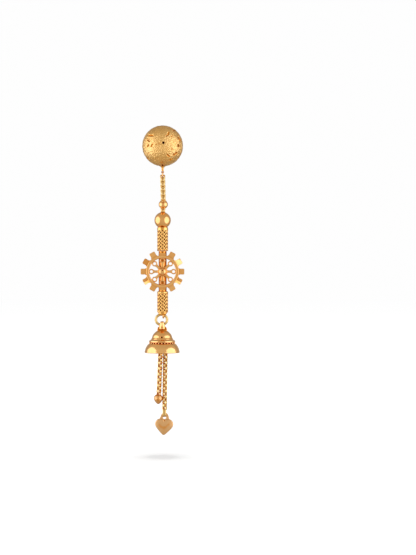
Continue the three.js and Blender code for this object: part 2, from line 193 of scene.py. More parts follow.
def wire(path, section, closed=False, normals=None):
    """A shell swept along the path. The section lists (along the normal, to the side) offsets."""
    normals = normals or carried_normals(path, closed)
    rings = []
    for point, head, normal in zip(path, tangents(path, closed), normals):
        side = head.cross(normal).normalized()
        rings.append([point + normal * a + side * b for a, b in section])
    return Shell().skin(rings, closed)


def signed_power(value, power):
    """The power of a number's size, with its sign kept: below 1 it squares up a circle."""
    return copysign(abs(value) ** power, value)


def oval_section(out, side, sides, start=0.0, powers=(1.0, 1.0)):
    """A section for wire(), from half sizes along the normal and to the side. Powers below 1 square it up."""
    return [(out * signed_power(cos(a), powers[0]), side * signed_power(sin(a), powers[1]))
            for a in round_angles(sides, start)]


def round_section(radius, sides=12):
    return oval_section(radius, radius, sides)


def oval_ring(half_width, half_height, section, steps, edge_on=False):
    """A closed ring of the section, facing the front, or sideways where edge_on."""
    path = []
    for angle in round_angles(steps):
        across, up = half_width * cos(angle), half_height * sin(angle)
        path.append(Vector((0, across, up)) if edge_on else Vector((across, 0, up)))
    outward = [Vector((p.x / half_width ** 2, p.y / half_width ** 2, p.z / half_height ** 2)).normalized()
               for p in path]
    return wire(path, section, True, outward)


# ---- Gold ----


def new_material(name):
    material = bpy.data.materials.new(name)
    material.use_nodes = True
    nodes = material.node_tree.nodes
    return material, nodes, nodes["Principled BSDF"]


def fill(node, sockets):
    """Gives a node's inputs their values, or joins them to other nodes' outputs."""
    for name, value in sockets.items():
        if isinstance(value, bpy.types.NodeSocket):
            node.id_data.links.new(value, node.inputs[name])
        else:
            node.inputs[name].default_value = value
    return node


def ramp(nodes, stops, interpolation="LINEAR"):
    """A colour ramp through (position, colour) pairs."""
    node = nodes.new("ShaderNodeValToRGB")
    node.color_ramp.interpolation = interpolation
    elements = node.color_ramp.elements
    for position, _ in stops[1:-1]:
        elements.new(position)
    for element, (position, colour) in zip(elements, stops):
        element.position = position
        element.color = (*colour, 1)
    return node


DRIFT_PER_MM = 0.35
ROUGHNESS_DRIFT = 0.25
# Painted shade colours: the deep orange of gold mirroring gold in a groove, darkening to a dark hole.
PAINTED_SHADE_COLOURS = [(0.5, (0.76, 0.26, 0.022)), (0.75, (0.42, 0.11, 0.01)), (1.0, (0.05, 0.007, 0.002))]


def gold(name, dark, light, roughness, grain_mm, relief_mm):
    """Yellow gold whose colour and roughness drift gently, with a fine grain of the given size and height. Where a
    point carries painted shade, its colour turns towards the painted shade colours.
    """
    material, nodes, shader = new_material(name)
    spot = nodes.new("ShaderNodeTexCoord").outputs["Object"]
    drift = fill(nodes.new("ShaderNodeTexNoise"), {"Scale": DRIFT_PER_MM / MM, "Detail": 3.0, "Vector": spot})
    tint = fill(ramp(nodes, [(0.3, dark), (0.7, light)]), {"Fac": drift.outputs["Fac"]})

    painted_shade = nodes.new("ShaderNodeAttribute")
    painted_shade.attribute_name = "painted_shade"
    groove = fill(ramp(nodes, PAINTED_SHADE_COLOURS), {"Fac": painted_shade.outputs["Fac"]})
    share = fill(nodes.new("ShaderNodeMapRange"), {"From Max": 0.5, "Value": painted_shade.outputs["Fac"]})
    colour = nodes.new("ShaderNodeMix")
    colour.data_type = "RGBA"
    fill(colour, {"Factor": share.outputs["Result"], "A": tint.outputs["Color"], "B": groove.outputs["Color"]})

    rub = fill(nodes.new("ShaderNodeMapRange"), {
        "To Min": roughness * (1 - ROUGHNESS_DRIFT), "To Max": roughness * (1 + ROUGHNESS_DRIFT),
        "Value": drift.outputs["Fac"]})
    grain = fill(nodes.new("ShaderNodeTexNoise"), {"Scale": 1 / (grain_mm * MM), "Detail": 4.0, "Vector": spot})
    bump = fill(nodes.new("ShaderNodeBump"), {
        "Distance": relief_mm * MM, "Strength": 1.0, "Height": grain.outputs["Fac"]})
    fill(shader, {"Metallic": 1.0, "Base Color": colour.outputs["Result"], "Roughness": rub.outputs["Result"],
                  "Normal": bump.outputs["Normal"]})
    return material


GOLD = gold("polished_gold", (0.86, 0.42, 0.125), (0.93, 0.5, 0.17), 0.15, 0.5, 0.004)
CHAIN_GOLD = gold("chain_gold", (0.74, 0.44, 0.14), (0.80, 0.525, 0.185), 0.17, 0.5, 0.004)
ENGRAVED = gold("engraved_gold", (0.80, 0.425, 0.11), (0.89, 0.52, 0.165), 0.33, 0.16, 0.03)
WOVEN = gold("wire_gold", (0.80, 0.41, 0.1), (0.88, 0.48, 0.13), 0.2, 0.3, 0.004)
SATIN = gold("satin_gold", (0.74, 0.39, 0.145), (0.81, 0.455, 0.18), 0.4, 0.12, 0.01)


# ---- Making pieces ----


def mesh_object(name, points, faces, material):
    """A smooth object from points in millimetres from the middle of the ball, moved onto the frame's metres."""
    mesh = bpy.data.meshes.new(name)
    mesh.from_pydata([tuple((p + BALL_MIDDLE) * MM) for p in points], [], faces)
    mesh.validate()
    mesh.materials.append(material)
    mesh.shade_smooth()
    thing = bpy.data.objects.new(name, mesh)
    bpy.context.scene.collection.objects.link(thing)
    return thing


def piece(name, shell, body, nodes, material, sharp=40):
    """One object from a shell, smooth but for edges sharper than the angle."""
    thing = mesh_object(name, shell.points, shell.faces, material)
    thing.data.attributes.new("painted_shade", "FLOAT", "POINT").data.foreach_set("value", shell.painted_shades)
    thing.data.set_sharp_from_angle(angle=radians(sharp))
    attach(thing, body)
    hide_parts(*nodes)


# ---- Stud ----

PINHOLE = {"across": 0.39, "height": 0.34, "radius": 0.36, "depth": 0.8}
BALL_GRID = {"around": 400, "along": 212}
SUNBURST = {"inner": 0.8, "outer": 3.4, "grooves": 34, "depth": 0.045}

# Cuts in the ball: where each lies across and up, its length, half width, lean from level, depth and painted
# shade, the dark orange painted into the groove.
CUT_COLUMNS = ("x", "z", "length", "half", "lean", "depth", "painted_shade")
BALL_CUTS = [dict(zip(CUT_COLUMNS, row)) for row in (
    (-3.16, 2.52, 1.0, 0.26, -4, 0.16, 0.68),
    (-3.8, 1.04, 0.75, 0.17, -45, 0.2, 0.76),
    (-3.98, -0.33, 0.4, 0.2, 65, 0.18, 0.84),
    (-2.79, -0.26, 0.65, 0.24, 60, 0.13, 0.66),
    (1.77, 3.07, 0.6, 0.28, 75, 0.14, 0.56),
    (1.29, 2.38, 0.3, 0.2, 20, 0.12, 0.78),
    (3.2, 4.06, 0.35, 0.22, 20, 0.16, 0.66),
    (2.69, 2.34, 0.4, 0.16, 50, 0.1, 0.55),
    (4.68, 1.67, 1.05, 0.18, -60, 0.2, 0.78),
    (4.51, -0.24, 0.25, 0.25, 88, 0.2, 0.9),
    (3.59, -2.55, 1.1, 0.2, 36, 0.2, 0.8),
    (1.73, -3.09, 0.7, 0.2, -32, 0.18, 0.74),
    (2.34, -4.08, 0.75, 0.2, 28, 0.18, 0.52),
    (-1.36, -3.77, 0.5, 0.26, 10, 0.07, 0.2),
    (-4.07, -3.59, 0.5, 0.16, -45, 0.12, 0.6),
    (-3.85, -2.41, 0.3, 0.18, 30, 0.07, 0.4),
    (-0.66, 0.3, 0.6, 0.13, 40, 0.08, 0.5),
    (-1.58, -0.1, 0.2, 0.16, 0, 0.08, 0.4),
    (2.84, -1.36, 0.7, 0.1, -58, 0.1, 0.6),
)]


def cut_depth(x, z, cut):
    """How far a cut sinks the ball's surface at a point: a groove with round ends and a raised rim."""
    lean = radians(cut["lean"])
    dx, dz = x - cut["x"], z - cut["z"]
    along = dx * cos(lean) + dz * sin(lean)
    across = -dx * sin(lean) + dz * cos(lean)
    beyond = max(abs(along) - cut["length"] / 2, 0.0)
    share = hypot(beyond, across) / (1.35 * cut["half"])
    if share < 1:
        return cut["depth"] * (1 - share ** 2) ** 2
    return -0.04 * sin(pi * (share - 1) / 0.6) if share < 1.6 else 0.0


def granules(point, size):
    """How near a point is to the borders of small cells of the given size: 0 inside them, 1 on a border."""
    near = noise.voronoi(point / size)[0]
    return max(0.0, 1 - (near[1] - near[0]) / 0.22) ** 2


def ball_surface(direction):
    """A point on the engraved ball in the given direction."""
    here = direction * BALL_RADIUS
    x, y, z = here
    sink = 0.01 + 0.08 * granules(here, 0.62)
    sink += 0.04 * (noise.noise(here * 1.5) + 0.5) + 0.09 * (noise.noise(here * 2.7 + Vector((9, 4, 2))) + 0.4)
    if y < 0:
        across, up = x - PINHOLE["across"], z - PINHOLE["height"]
        away, angle = hypot(across, up), atan2(up, across)
        if SUNBURST["inner"] < away < SUNBURST["outer"]:
            share = (away - SUNBURST["inner"]) / (SUNBURST["outer"] - SUNBURST["inner"])
            wander = 1.6 * noise.noise(here * 0.8)
            strength = (0.2 + 0.8 * sin(2 * angle) ** 2) * (1.0 if up < 0 else 0.5)
            sink += (SUNBURST["depth"] * strength * sin(pi * share)
                     * (1 + cos(SUNBURST["grooves"] * angle + wander)))
        sink += max((cut_depth(x, z, cut) for cut in BALL_CUTS), key=abs)
    return direction * (BALL_RADIUS - max(0.005 + 0.06 * max(0.0, -direction.y), sink))


# Painted shade on the ball's front: dark orange in the cuts, a painted reflection of the stem in deep orange just
# above it, and the painted shade where the stem meets the ball.
def ball_painted_shade(point):
    if point.y > 0:
        return 0.0
    inside = max(cut["painted_shade"] * smooth(0.015, 0.09, cut_depth(point.x, point.z, cut)) for cut in BALL_CUTS)
    painted_reflection = 0.26 * smooth(1.0, 0.4, hypot((point.x + 0.02) / 0.75, (point.z + 4.87) / 0.34))
    return max(inside, painted_reflection, painted_foot_shade(point))


def painted_foot_shade(point):
    """The painted shade, a dark spot, in the crevice where the stem meets the ball."""
    return 0.95 * smooth(0.34, 0.12, hypot(point.x + 0.02, point.z + 5.55)) if point.y < -0.4 else 0.0


def stud_ball():
    across, height, hole, depth = PINHOLE.values()
    pole = Vector((across, -sqrt(BALL_RADIUS ** 2 - across ** 2 - height ** 2), height)) / BALL_RADIUS
    right = Vector((0, 0, 1)).cross(pole).normalized() * -1
    up = right.cross(pole).normalized()
    edge = asin(hole / BALL_RADIUS)

    def circle(along_pole, radius):
        return [pole * along_pole + (right * cos(a) + up * sin(a)) * radius
                for a in round_angles(BALL_GRID["around"])]

    rings = [circle(BALL_RADIUS - sunk, radius)
             for radius, sunk in ((0.02, depth), (hole * 0.9, depth), (hole * 0.95, 0.12))]
    in_hole = len(rings) * BALL_GRID["around"]
    for i in range(BALL_GRID["along"] + 1):
        angle = edge + (pi - 0.001 - edge) * i / BALL_GRID["along"]
        rings.append([ball_surface(way) for way in circle(cos(angle), sin(angle))])
    shell = Shell().skin(rings).shade(ball_painted_shade)
    # The pinhole's walls are painted dark: painted shade.
    shell.painted_shades[:in_hole] = [1.0] * in_hole
    return shell.add(stud_eye())


def stud_eye():
    """The soldered cone and peg under the ball, and the small eye whose hole runs front to back. The cone carries the
    painted shade of the crevice under the ball, the stem's front a painted darker strip of shade, and the eye
    painted shade round its hole.
    """
    rim, hole, half = 0.41, 0.22, 0.19
    height = node_box("stud_ball")[0].z + rim
    shell = turned(smooth_profile([
        (0.31, height + hole + 0.02), (0.32, -6.75), (0.35, -6.35), (0.45, -6.0), (0.72, -5.78), (1.0, -5.62),
    ], 6), 32)
    shell.shade(painted_foot_shade).shade(lambda p: 0.4 * smooth(0.2, 0.05, abs(p.x + 0.05)), 0)
    middle = (rim + hole) / 2
    shell.add(oval_ring(middle, middle, oval_section((rim - hole) / 2, half, 12), 40), moved(z=height))
    return shell.shade(lambda p: 0.9 * smooth(0.4, 0.24, hypot(p.x, p.z - height)))


def ear_post():
    low, high = node_box("ear_post")
    radius = (high.x - low.x) / 2
    outline = [(radius, BALL_RADIUS - 0.25), (radius, high.y - 0.4), (radius * 0.92, high.y - 0.2),
               (radius * 0.7, high.y - 0.06), (radius * 0.35, high.y)]
    return turned(outline, 32).placed(Matrix.Rotation(radians(-90), 4, "X"))


def top_ring():
    low, high = node_box("top_ring")
    thick = (high.x - low.x) / 2
    radius = (high.z - low.z) / 2 - thick
    return oval_ring(radius, radius, round_section(thick), 48, True).placed(moved(z=node_middle("top_ring").z))


# ---- Upper chain and beads ----

# The front right quarter of a folded link's centre line, from its fold to the foot of a loop.
FOLDED_LINK = [
    (0, -0.19, 0), (0.48, -0.19, -0.05), (0.57, -0.29, -0.23), (0.58, -0.44, -0.79), (0.46, -0.5, -1.07),
    (0.23, -0.47, -1.62), (0.26, 0, -1.69),
]
CHAIN = {"links": 5, "pitch": 1.302, "wire": 0.21, "between": 4, "narrow": 0.88}
CHAIN_TOP = node_box("upper_chain")[1].z - 0.14
LEAN = 0.18


def centripetal(points, between):
    """A closed smooth curve through the points, with evenly eased speed (centripetal Catmull-Rom)."""
    count = len(points)
    curve = []
    for i in range(count):
        p = [points[(i + k - 1) % count] for k in range(4)]
        t = [0.0]
        for a, b in zip(p, p[1:]):
            t.append(t[-1] + max((b - a).length, 1e-6) ** 0.5)
        for step in range(between):
            u = t[1] + (t[2] - t[1]) * step / between
            a = [p[k] * ((t[k + 1] - u) / (t[k + 1] - t[k])) + p[k + 1] * ((u - t[k]) / (t[k + 1] - t[k]))
                 for k in range(3)]
            b = [a[k] * ((t[k + 2] - u) / (t[k + 2] - t[k])) + a[k + 1] * ((u - t[k]) / (t[k + 2] - t[k]))
                 for k in range(2)]
            curve.append(b[0] * ((t[2] - u) / (t[2] - t[1])) + b[1] * ((u - t[1]) / (t[2] - t[1])))
    return curve


def folded_link(index):
    """One link of the front row, and the link that crosses it, half a pitch lower and a quarter turn round."""
    quarter = [Vector((x * CHAIN["narrow"], y, z)) for x, y, z in FOLDED_LINK]
    back = quarter[::-1]

    def mirrored(points, x, y):
        return [Vector((p.x * x, p.y * y, p.z)) for p in points]

    path = centripetal(quarter + mirrored(back[1:], 1, -1) + mirrored(quarter[1:], -1, -1)
                       + mirrored(back[1:-1], -1, 1), CHAIN["between"])
    front = wire(path, round_section(CHAIN["wire"], 10), True)
    # Painted shade: darker down the middle where the wires lie further back, and over the back half.
    front.shade(lambda p: 0.3 * smooth(0.3, 0.1, abs(p.x)) * smooth(-0.3, -0.1, p.y) + 0.25 * smooth(-0.2, 0.1, p.y))
    across = wire([p * 0.92 for p in path], round_section(CHAIN["wire"] * 0.9, 8), True)
    height = CHAIN_TOP - index * CHAIN["pitch"]
    return front.placed(moved(z=height)).add(
        across, moved(z=height - CHAIN["pitch"] / 2) @ Matrix.Rotation(pi / 2, 4, "Z"))


def upper_chain():
    # The wire through the chain is painted dark orange all over: painted shade.
    shell = turned([(0.17, -14.7), (0.17, -8.95)], 12).shade(lambda p: 0.6)
    for index in range(CHAIN["links"]):
        shell.add(folded_link(index))
    for p in shell.points:
        p.x += LEAN * (CHAIN_TOP - p.z) / 7
    return shell


SPACER_OUTLINE = [
    (0.05, -18.0), (0.2, -17.92), (0.47, -17.69), (0.71, -17.46), (0.97, -17.22), (1.19, -16.92), (1.29, -16.6),
    (1.3, -16.35), (1.24, -16.05), (1.08, -15.75), (0.88, -15.46), (0.68, -15.2), (0.5, -15.06), (0.05, -15.04),
]
SPACER_DIMPLE = {"height": -15.87, "radius": 0.26, "depth": 0.25}


def spacer_bead():
    """The small bead, with a round dimple at the front that is painted dark as painted shade."""
    radius = SPACER_DIMPLE["radius"]

    def away(p):
        return hypot(p.x, p.z - SPACER_DIMPLE["height"])

    bead = turned(smooth_profile(SPACER_OUTLINE), 96).dimple(away, radius, SPACER_DIMPLE["depth"])
    return bead.shade(lambda p: 0.78 * smooth(radius, 0.6 * radius, away(p)), 0).placed(moved(LEAN))


def spacer_links():
    # The wire in the small bead is painted dark orange all over: painted shade.
    shell = turned([(0.2, -18.6), (0.2, -17.8)], 12).shade(lambda p: 0.55)
    shell.add(folded_link(CHAIN["links"]), moved(LEAN))
    return shell.add(folded_link(CHAIN["links"] + 2), moved(LEAN / 2, 0, 0.5))


ROUND_BEAD = {"radius": 2.3, "well": 0.72, "lip": 0.1, "depth": 0.85}


def round_bead():
    radius, well, lip, depth = ROUND_BEAD.values()
    height = node_box("round_bead")[0].z + radius
    profile = []
    top = acos((well + lip) / radius)
    for i in range(49):
        angle = -pi / 2 + 0.02 + (top + pi / 2 - 0.02) * i / 48
        profile.append((radius * cos(angle), height + radius * sin(angle)))
    rim = profile[-1][1]
    profile += [(well + lip * 0.5, rim + 0.05), (well, rim), (well, rim - depth), (0.05, rim - depth)]
    shell = turned(profile, 96)
    # Painted shade: dark in the well at the top, deep orange round its mouth, and a deep orange spot at the front of
    # the foot, where the bead sits in the cap.
    shell.shade(lambda p: 0.8 if p.z > rim - 0.9 and hypot(p.x, p.y) < well + 0.01 else
                0.45 * smooth(1.5, 0.9, hypot(p.x, p.y)) if p.z > rim - 0.4 else 0)
    shell.shade(lambda p: 0.56 * smooth(1.2, 0.6, hypot((p.x + 0.1) / 0.55, (p.z + 22.68) / 0.42)), 0)
    collar = turned([(0.3, -19.3), (0.54, -19.2), (0.58, -18.6), (0.54, -18.44), (0.3, -18.42)], 32)
    # The collar is painted deep orange, darker at its top: painted shade.
    return shell.add(collar.shade(lambda p: 0.5 + 0.2 * smooth(-18.8, -18.6, p.z)))


# ---- Woven tubes ----

WEAVE = {"wires": 9, "radius": 1.35, "lift": 0.1, "half": 0.19, "thick": 0.1, "core": 0.98, "steps": 90,
         "stretch": 1.04}
CAP_BAND = 0.95
FOOT_BAND = 0.42
LOWER_FOOT = -46.75
UPPER_HOLE, LOWER_HOLE = -26.72, -45.51


def woven_sleeve(low, high, hole):
    """Flat wires wound both ways round a hollow; each passes over and under those that cross it. A gap between
    them faces the front at the height of the hole."""
    shell = Shell()
    section = oval_section(WEAVE["thick"], WEAVE["half"], 10, 0, (0.8, 0.8))
    pace = WEAVE["radius"] * WEAVE["stretch"]
    for hand in (1, -1):
        for k in range(WEAVE["wires"]):
            path, outward, painted_under_shades = [], [], []
            for i in range(WEAVE["steps"] + 1):
                height = low + (high - low) * i / WEAVE["steps"]
                swept = (height - hole) / pace
                angle = pi * (2 * k + 0.5) / WEAVE["wires"] + hand * swept
                over = hand * cos(WEAVE["wires"] * swept)
                radius = WEAVE["radius"] + WEAVE["lift"] * over
                # Painted shade on the stretches that pass under the crossing wires.
                painted_under_shades.append(0.3 * smooth(-0.3, -1.0, over))
                out = Vector((cos(angle), sin(angle), 0))
                path.append(out * radius + Vector((0, 0, height)))
                outward.append(out)
            strand = wire(path, section, False, outward)
            strand.painted_shades = [depth for depth in painted_under_shades for _ in section]
            shell.add(strand)
    return shell


def painted_shade_core(name):
    """A core painted dark, seen between the wires of a woven tube: painted shade standing in for the shadowed
    hollow.
    """
    low, high = node_box(name)
    foot = max(low.z, LOWER_FOOT)
    return turned([(0.6, foot + 0.4), (WEAVE["core"], foot + 0.6), (WEAVE["core"], high.z - 0.5),
                   (0.6, high.z - 0.45)], 40).shade(lambda p: 0.92)


def upper_mesh_tube():
    low, high = node_box("upper_mesh_tube")
    radius = (high.x - low.x) / 2
    cup = ROUND_BEAD["radius"] + 0.06
    middle = node_box("round_bead")[0].z + ROUND_BEAD["radius"]
    shell = woven_sleeve(low.z + 0.08, high.z - CAP_BAND * 0.8, UPPER_HOLE)
    inner = radius - 0.22
    seat = middle - sqrt(cup ** 2 - inner ** 2)
    cap = smooth_profile([
        (radius - 0.3, high.z - CAP_BAND - 0.02), (radius - 0.06, high.z - CAP_BAND + 0.02),
        (radius - 0.01, high.z - CAP_BAND + 0.16), (radius - 0.01, high.z - 0.35),
        (radius - 0.06, high.z - 0.12), (radius - 0.15, high.z - 0.02), (inner, min(high.z - 0.05, seat)),
    ])
    for i in range(1, 9):
        across = inner * (1 - i / 8) + 0.03
        cap.append((across, middle - sqrt(cup ** 2 - across ** 2)))
    # Painted shade down the middle of the cap's front.
    shell.add(turned(cap).shade(lambda p: 0.25 * smooth(0.75, 0.35, abs(p.x)), 0))
    # The foot band is painted dark orange all over: painted shade.
    return shell.add(turned(smooth_profile([
        (0.9, low.z), (radius - 0.5, low.z), (radius - 0.32, low.z + 0.06), (radius - 0.28, low.z + 0.2),
        (radius - 0.3, low.z + FOOT_BAND), (radius - 0.5, low.z + FOOT_BAND + 0.04),
    ])).shade(lambda p: 0.3))


def lower_mesh_tube():
    low, high = node_box("lower_mesh_tube")
    radius = (high.x - low.x) / 2
    foot = LOWER_FOOT
    shell = woven_sleeve(foot + 0.25, high.z - 0.45, LOWER_HOLE)
    shell.add(turned(smooth_profile([
        (radius - 0.3, high.z - 0.66), (radius - 0.06, high.z - 0.6), (radius - 0.01, high.z - 0.45),
        (radius - 0.03, high.z - 0.2), (radius - 0.14, high.z - 0.05), (radius - 0.3, high.z), (0.9, high.z),
    ])))
    shell.add(turned(smooth_profile([
        (0.3, foot + 0.09), (0.8, foot + 0.09), (1.04, foot + 0.02), (1.24, foot + 0.07), (1.36, foot + 0.2),
        (1.38, foot + 0.4), (1.2, foot + 0.5),
    ])))
    for side in (-1, 1):
        shell.add(foot_lip(foot, side))
    eyelet = {"x": 0.2, "radius": 0.83, "wire": 0.24}
    ring = oval_ring(eyelet["radius"], eyelet["radius"], round_section(eyelet["wire"]), 48, True)
    return shell.add(ring, moved(eyelet["x"], 0, low.z + eyelet["radius"] + eyelet["wire"]))


def foot_lip(foot, side):
    """One of the two lips, front and back, that the heavy ring hangs between. Side is -1 at the front."""
    rings = []
    for i in range(25):
        across = 2 * i / 24 - 1
        angle = radians(62 * across)
        drop = 0.62 - 0.4 * abs(across) ** 5
        section = [(1.18, 0.08), (1.36, 0.12), (1.4, 0.02), (1.4 - 0.12 * drop, -0.4 * drop),
                   (1.4 - 0.36 * drop, -0.88 * drop), (1.34 - 0.36 * drop, -0.97 * drop),
                   (1.26 - 0.36 * drop, -drop), (1.18 - 0.36 * drop, -0.94 * drop), (1.14, -0.4 * drop)]
        rings.append([Vector((radius * sin(angle), side * radius * cos(angle), foot + height))
                      for radius, height in section])
    # The lips are a little deeper orange all over, with painted shade towards the right and the bottom.
    return Shell().skin(rings).shade(
        lambda p: 0.3 * smooth(-0.3, 0.3, p.x) * smooth(foot + 0.1, foot - 0.3, p.z) + 0.12)


# ---- Bell ----


def jump_ring():
    low, high = node_box("jump_ring")
    thick = 0.36
    half_width, half_height = (high.x - low.x) / 2 - 0.08 - thick, (high.z - low.z) / 2 - thick
    middle = (low + high) / 2 - Vector((0.06, 0, 0))
    ring = oval_ring(half_width, half_height, oval_section(thick, thick, 20, 0.5, (0.9, 0.9)), 64)
    return ring.placed(moved(middle.x, 0, middle.z))


def squared_path(half_depth, top, foot, steps=96, power=0.34):
    """An upright ring's centre line with squared corners, in the plane that faces sideways."""
    return [Vector((0, half_depth * signed_power(cos(a), power),
                    (top + foot) / 2 + (top - foot) / 2 * signed_power(sin(a), power)))
            for a in round_angles(steps)]


def stadium_path(half_depth, top, foot, steps=20):
    """An upright ring's centre line with straight sides, in the plane that faces sideways."""
    path = []
    for start, middle in ((0, top - half_depth), (pi, foot + half_depth)):
        for i in range(steps + 1):
            angle = start + pi * i / steps
            path.append(Vector((0, half_depth * cos(angle), middle + half_depth * sin(angle))))
    return path


# The middle of the small dot on the front of the bell's link, a dimple painted dark as painted shade.
LINK_DOT = Vector((0, 0, -50.9))


def bell_link():
    """An edge-on band with a ridge down the middle of its face, narrower at the top."""
    low, high = node_box("bell_link")
    half_wide, ridge = 0.86, 0.3
    half_depth = (high.y - low.y) / 2 - ridge
    path = squared_path(half_depth, high.z - ridge, low.z + ridge)
    front = [(t, 0.4 * abs(t - 0.04) ** 1.3) for t in (-0.9 + 0.09 * k for k in range(21))]
    section = [(-1.0, 0.35), (-0.96, 0.34)] + front + [(0.96, 0.34), (1.0, 0.35), (0.9, 0.39), (-0.9, 0.39)]
    rings = []
    for point, head in zip(path, tangents(path, True)):
        outward = head.cross(Vector((1, 0, 0)))
        down = max(0.0, high.z - point.z - ridge)
        half = half_wide - 0.28 - 0.16 * (1 - sqrt(min(1.0, down / 0.35))) + 0.28 * smooth(0.2, 1.6, down)
        inside = smooth(0.58, 0.46, abs(point.y)) * smooth(-50.5, -50.8, point.z)
        half += (0.44 - half) * inside
        fall = (0.3 + 0.7 * smooth(0.0, 0.8, down)) * (1 - 0.8 * inside)
        rings.append([point + outward * (ridge - fall * drop) + Vector((half * t, 0, 0)) for t, drop in section])

    def away(p):
        return hypot(p.x, p.z - LINK_DOT.z)

    band = Shell().skin(rings, True).dimple(away, 0.26, 0.16)
    # Painted shade: the dot, the whole back, the outer edges of the face, and the foot where the link runs into the
    # bell's loop.
    band.shade(lambda p: 0.6 * smooth(0.22, 0.1, away(p)) if p.y < 0 else 0.4)
    band.shade(lambda p: 0.42 * smooth(0.6, 0.74, abs(p.x)))
    band.shade(lambda p: 0.5 * smooth(-51.2, -51.45, p.z))
    return band.placed(moved(node_middle("bell_link").x))


BELL_OUTLINE = [
    (4.78, -57.93), (4.89, -57.86), (4.93, -57.72), (4.9, -57.5), (4.84, -57.29), (4.68, -56.73), (4.41, -56.17),
    (4.05, -55.65), (3.78, -55.42), (3.6, -55.38),
]
FLANGE_OUTLINE = [
    (3.1, -55.36), (2.95, -55.2), (3.1, -55.02), (3.58, -54.98), (3.68, -54.75), (3.6, -54.5), (3.4, -54.36),
    (3.14, -54.2), (3.02, -53.98), (2.85, -53.68), (2.77, -53.4), (2.68, -53.09), (2.52, -52.81), (2.31, -52.53),
    (2.03, -52.25), (1.72, -51.97), (1.4, -51.78), (0.9, -51.74), (0.05, -51.73),
]
BELL_CEILING = [(0.05, -52.15), (1.7, -52.4), (2.2, -53.0), (2.38, -53.8), (2.6, -54.5), (2.75, -55.0)]
CROWN_DOT = {"height": -53.52, "radius": 0.3, "front": -2.0}
GRAINS = {"count": 26, "radius": 3.5, "height": -55.19}
BELL_LOOP = {"foot": -52.6, "hole_top": -50.97, "hole_foot": -51.42}
BAR_HEIGHT = -54.95
BELL_WALL = 0.38


def bell():
    bowl = smooth_profile(BELL_OUTLINE, 6)
    inside = [(r - BELL_WALL, z + (0.03 if i else 0)) for i, (r, z) in enumerate(bowl)]
    rim, foot = bowl[0]
    lip = [(rim - 0.16, foot), (rim - 0.04, foot)]
    profile = BELL_CEILING + inside[::-1] + lip + bowl + smooth_profile(FLANGE_OUTLINE)

    def away(p):
        return hypot(p.x * 0.8, (p.z - CROWN_DOT["height"]) * 1.2)

    cup = turned(profile, 160).dimple(away, CROWN_DOT["radius"], 0.3, CROWN_DOT["front"])
    # Painted shade: the crown's dot, the recess under the flange, the top of the crown round the loop, and a deep
    # orange spot at the front where the link meets the crown.
    cup.shade(lambda p: 0.97 * smooth(0.31, 0.2, away(p)), CROWN_DOT["front"])
    cup.shade(lambda p: 0.78 * smooth(3.5, 3.2, hypot(p.x, p.y))
              if -55.4 < p.z < -54.99 and hypot(p.x, p.y) > 2.9 else 0)
    cup.shade(lambda p: 0.3 * smooth(-52.3, -51.9, p.z) if abs(p.x) < 1.6 else 0)
    cup.shade(lambda p: 0.5 * smooth(1.2, 0.5, hypot((p.x + 0.05) / 0.36, (p.z + 51.98) / 0.44)), 0)
    cup.add(gadroons()).add(bell_loop()).add(cross_bar())
    return cup.placed(moved(node_middle("bell").x))


def gadroons():
    """A row of small grains in the recess under the flange."""
    grain = turned([(0.17 * cos(a), 0.23 * sin(a)) for a in
                    (-pi / 2 + 0.1 + (pi - 0.2) * k / 8 for k in range(9))], 12)
    shell = Shell()
    for a in round_angles(GRAINS["count"], 0.5):
        shell.add(grain, moved(GRAINS["radius"] * cos(a), GRAINS["radius"] * sin(a), GRAINS["height"]))
    return shell


def plate(outline, hole, half_depth, edge):
    """An upright plate facing the front, with one hole and rounded edges. Outline and hole list the same
    number of (x, z) pairs, both the same way round. The outline's front bevel is listed from the side to the
    face, so it folds over on itself there."""
    count = len(outline)

    def shrunk(loop, inset, y):
        ring = []
        for i, (x, z) in enumerate(loop):
            (ax, az), (bx, bz) = loop[i - 1], loop[(i + 1) % count]
            side = Vector((bz - az, ax - bx)).normalized()
            ring.append(Vector((x - side.x * inset, y, z - side.y * inset)))
        return ring

    to_side = [(edge * (1 - sin(a)), half_depth - edge * (1 - cos(a))) for a in (pi / 2 * k / 4 for k in range(5))]
    to_face = to_side[::-1]
    return Shell().skin([shrunk(outline, inset, -y) for inset, y in to_face]
                        + [shrunk(outline, inset, y) for inset, y in to_face]
                        + [shrunk(hole, -inset, y) for inset, y in to_side]
                        + [shrunk(hole, -inset, -y) for inset, y in to_face], True)


def arch_outline(half_width, top, foot, corner, steps=48):
    """A loop's outline: a round top on straight sides, listed from the right foot over the top to the left."""
    angles = [pi * (i / (steps - 1)) for i in range(steps)]
    return [(half_width * signed_power(cos(a), corner), foot + (top - foot) * sin(a) ** corner) for a in angles]


def foot_row(half_width, height):
    """The points along an outline's level foot, from left to right, without its ends."""
    return [(-half_width + 2 * half_width * k / 8, height) for k in range(1, 8)]


def bell_loop():
    """The loop on the crown, facing the front, with painted shade over its upper part round the hole, and a little
    over all but its outer edges.
    """
    foot, hole_foot = BELL_LOOP["foot"], BELL_LOOP["hole_foot"]
    outline = arch_outline(1.36, node_box("bell")[1].z, foot, 0.46) + foot_row(0.66, foot)
    hole = arch_outline(0.46, BELL_LOOP["hole_top"], hole_foot, 0.6) + foot_row(0.36, hole_foot)
    loop = plate(outline, hole, 0.4, 0.16)
    return loop.shade(lambda p: 0.6 * smooth(-51.85, -51.6, p.z) + 0.1 * smooth(1.25, 1.0, abs(p.x)))


def cross_bar():
    """The bar inside the bell that the chains hang from."""
    bar = turned([(0.15, -3.3), (0.15, 3.3)], 16)
    return bar.placed(moved(z=BAR_HEIGHT) @ Matrix.Rotation(pi / 2, 4, "Y"))


# ---- Belcher chains and what hangs on them ----

